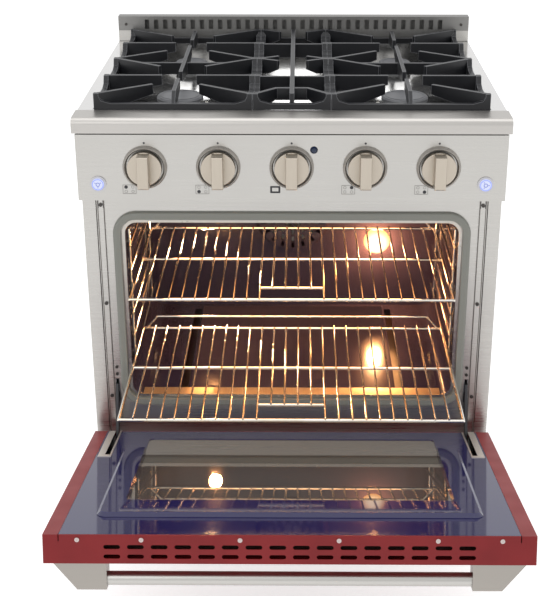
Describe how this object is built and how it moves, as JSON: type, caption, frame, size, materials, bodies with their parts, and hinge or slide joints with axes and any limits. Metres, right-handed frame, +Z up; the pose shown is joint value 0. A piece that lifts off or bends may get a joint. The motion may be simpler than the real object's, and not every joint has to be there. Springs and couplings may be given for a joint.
{
  "type": "freestanding gas range",
  "caption": "Freestanding gas range with sealed burners, cast grates, knobs, drop-down oven door, sliding racks and levelling legs.",
  "frame": {"origin": "middle of the footprint of the whole range at rest (door open, racks drawn out), on the floor", "axes": "+X across the range to the right as seen from the front, +Y from the front to the back, +Z up"},
  "size_m": [0.763, 1.1562, 0.953],
  "materials": {
    "brushed_stainless": "brushed",
    "polished_stainless": "polished",
    "galvanised_sheet": "zinc coated",
    "red_paint": "satin powder coat",
    "blue_enamel": "gloss porcelain enamel",
    "cavity_enamel": "gloss porcelain enamel",
    "cast_iron": "matt enamelled casting",
    "burner_cap_enamel": "matt",
    "burner_aluminium": "cast",
    "chrome_wire": "polished",
    "knob_metal": "satin",
    "bezel_metal": "satin",
    "gasket_fibre": "woven",
    "window_glass": "clear",
    "lamp_glass": "clear, lit",
    "button_glow": "translucent, lit",
    "signal_lens": "clear",
    "mineral_wool": "fibrous",
    "brass": "machined",
    "black_plastic": "moulded",
    "dark_steel": "zinc black"
  },
  "bodies": {
    "range_body": {"side_panels": "brushed_stainless", "base_pan": "galvanised_sheet", "rear_panel": "galvanised_sheet", "kick_plate": "brushed_stainless", "levelling_legs": "brushed_stainless", "front_frame": "brushed_stainless", "trim_strips": "brushed_stainless", "frame_screws": "chrome_wire", "oven_gasket": "gasket_fibre", "oven_liner": "cavity_enamel", "oven_floor_panel": "cavity_enamel", "insulation_wrap": "mineral_wool", "oven_burners": "burner_aluminium", "oven_lamp_lens": "lamp_glass", "oven_lamp_socket": "black_plastic", "fan_cover": "cavity_enamel", "fan_motor": "dark_steel", "rack_guides": "chrome_wire", "hinge_arms": "dark_steel", "hinge_receivers": "galvanised_sheet", "cooktop_pan": "polished_stainless", "landing_ledge": "brushed_stainless", "backguard": "brushed_stainless", "burner_heads": "burner_aluminium", "burner_caps": "burner_cap_enamel", "control_panel": "brushed_stainless", "switch_housings": "chrome_wire", "signal_lamp": "signal_lens", "knob_bezels": "bezel_metal", "gas_valves": "brass", "gas_pipes": "burner_aluminium", "gas_regulator": "dark_steel", "power_inlet_gland": "black_plastic"},
    "oven_door": {"door_shell": "red_paint", "door_liner": "blue_enamel", "hinge_cover_plates": "brushed_stainless", "inner_glass": "window_glass", "outer_glass": "window_glass", "door_insulation": "mineral_wool", "door_screws": "chrome_wire", "handle_brackets": "brushed_stainless", "handle_tube": "brushed_stainless", "door_hinge_brackets": "dark_steel"},
    "upper_rack": {"upper_rack": "chrome_wire"},
    "lower_rack": {"lower_rack": "chrome_wire"},
    "convection_fan": {"convection_fan": "burner_aluminium"},
    "push_button_left": {"push_button_left": "button_glow"},
    "push_button_right": {"push_button_right": "button_glow"},
    "grate_left": {"grate_left": "cast_iron"},
    "grate_centre": {"grate_centre": "cast_iron"},
    "grate_right": {"grate_right": "cast_iron"},
    "stem_front_left": {"valve_stem_front_left": "brass"},
    "knob_front_left": {"knob_front_left": "knob_metal"},
    "stem_rear_left": {"valve_stem_rear_left": "brass"},
    "knob_rear_left": {"knob_rear_left": "knob_metal"},
    "knob_oven": {"knob_oven": "knob_metal"},
    "stem_rear_right": {"valve_stem_rear_right": "brass"},
    "knob_rear_right": {"knob_rear_right": "knob_metal"},
    "stem_front_right": {"valve_stem_front_right": "brass"},
    "knob_front_right": {"knob_front_right": "knob_metal"}
  },
  "joints": [
    {"name": "door_hinge", "type": "hinge", "parent": "range_body", "child": "oven_door", "pos_m": [0, -0.08385, 0.24], "axis": [1, 0, 0], "range_deg": [-78, 0]},
    {"name": "lower_rack_slide", "type": "slide", "parent": "range_body", "child": "lower_rack", "axis": [0, -1, 0], "range_m": [-0.239, 0]},
    {"name": "upper_rack_slide", "type": "slide", "parent": "range_body", "child": "upper_rack", "axis": [0, -1, 0], "range_m": [-0.031, 0]},
    {"name": "fan_spin", "type": "hinge", "parent": "range_body", "child": "convection_fan", "pos_m": [0, 0.39015, 0.55], "axis": [0, 1, 0], "continuous": true},
    {"name": "knob_front_left_turn", "type": "hinge", "parent": "range_body", "child": "stem_front_left", "pos_m": [-0.258, -0.08985, 0.809], "axis": [0, -1, 0], "range_deg": [0, 270]},
    {"name": "knob_front_left_push", "type": "slide", "parent": "stem_front_left", "child": "knob_front_left", "axis": [0, 1, 0], "range_m": [0, 0.003], "stiffness_N_per_m": 600, "springref_m": -0.002},
    {"name": "knob_rear_left_turn", "type": "hinge", "parent": "range_body", "child": "stem_rear_left", "pos_m": [-0.129, -0.08985, 0.809], "axis": [0, -1, 0], "range_deg": [0, 270]},
    {"name": "knob_rear_left_push", "type": "slide", "parent": "stem_rear_left", "child": "knob_rear_left", "axis": [0, 1, 0], "range_m": [0, 0.003], "stiffness_N_per_m": 600, "springref_m": -0.002},
    {"name": "knob_oven_turn", "type": "hinge", "parent": "range_body", "child": "knob_oven", "pos_m": [0, -0.08985, 0.809], "axis": [0, -1, 0], "range_deg": [0, 300]},
    {"name": "knob_rear_right_turn", "type": "hinge", "parent": "range_body", "child": "stem_rear_right", "pos_m": [0.129, -0.08985, 0.809], "axis": [0, -1, 0], "range_deg": [0, 270]},
    {"name": "knob_rear_right_push", "type": "slide", "parent": "stem_rear_right", "child": "knob_rear_right", "axis": [0, 1, 0], "range_m": [0, 0.003], "stiffness_N_per_m": 600, "springref_m": -0.002},
    {"name": "knob_front_right_turn", "type": "hinge", "parent": "range_body", "child": "stem_front_right", "pos_m": [0.258, -0.08985, 0.809], "axis": [0, -1, 0], "range_deg": [0, 270]},
    {"name": "knob_front_right_push", "type": "slide", "parent": "stem_front_right", "child": "knob_front_right", "axis": [0, 1, 0], "range_m": [0, 0.003], "stiffness_N_per_m": 600, "springref_m": -0.002},
    {"name": "push_button_left_travel", "type": "slide", "parent": "range_body", "child": "push_button_left", "axis": [0, 1, 0], "range_m": [0, 0.002], "stiffness_N_per_m": 500, "springref_m": -0.001},
    {"name": "push_button_right_travel", "type": "slide", "parent": "range_body", "child": "push_button_right", "axis": [0, 1, 0], "range_m": [0, 0.002], "stiffness_N_per_m": 500, "springref_m": -0.001},
    {"name": "grate_left_lift", "type": "slide", "parent": "range_body", "child": "grate_left", "axis": [0, 0, 1], "range_m": [0, 0.08]},
    {"name": "grate_centre_lift", "type": "slide", "parent": "range_body", "child": "grate_centre", "axis": [0, 0, 1], "range_m": [0, 0.08]},
    {"name": "grate_right_lift", "type": "slide", "parent": "range_body", "child": "grate_right", "axis": [0, 0, 1], "range_m": [0, 0.08]}
  ],
  "couplings": [
    {"joint": "lower_rack_slide", "follows": "door_hinge", "m_per_rad": 0.17409},
    {"joint": "upper_rack_slide", "follows": "door_hinge", "m_per_rad": 0.0213}
  ]
}
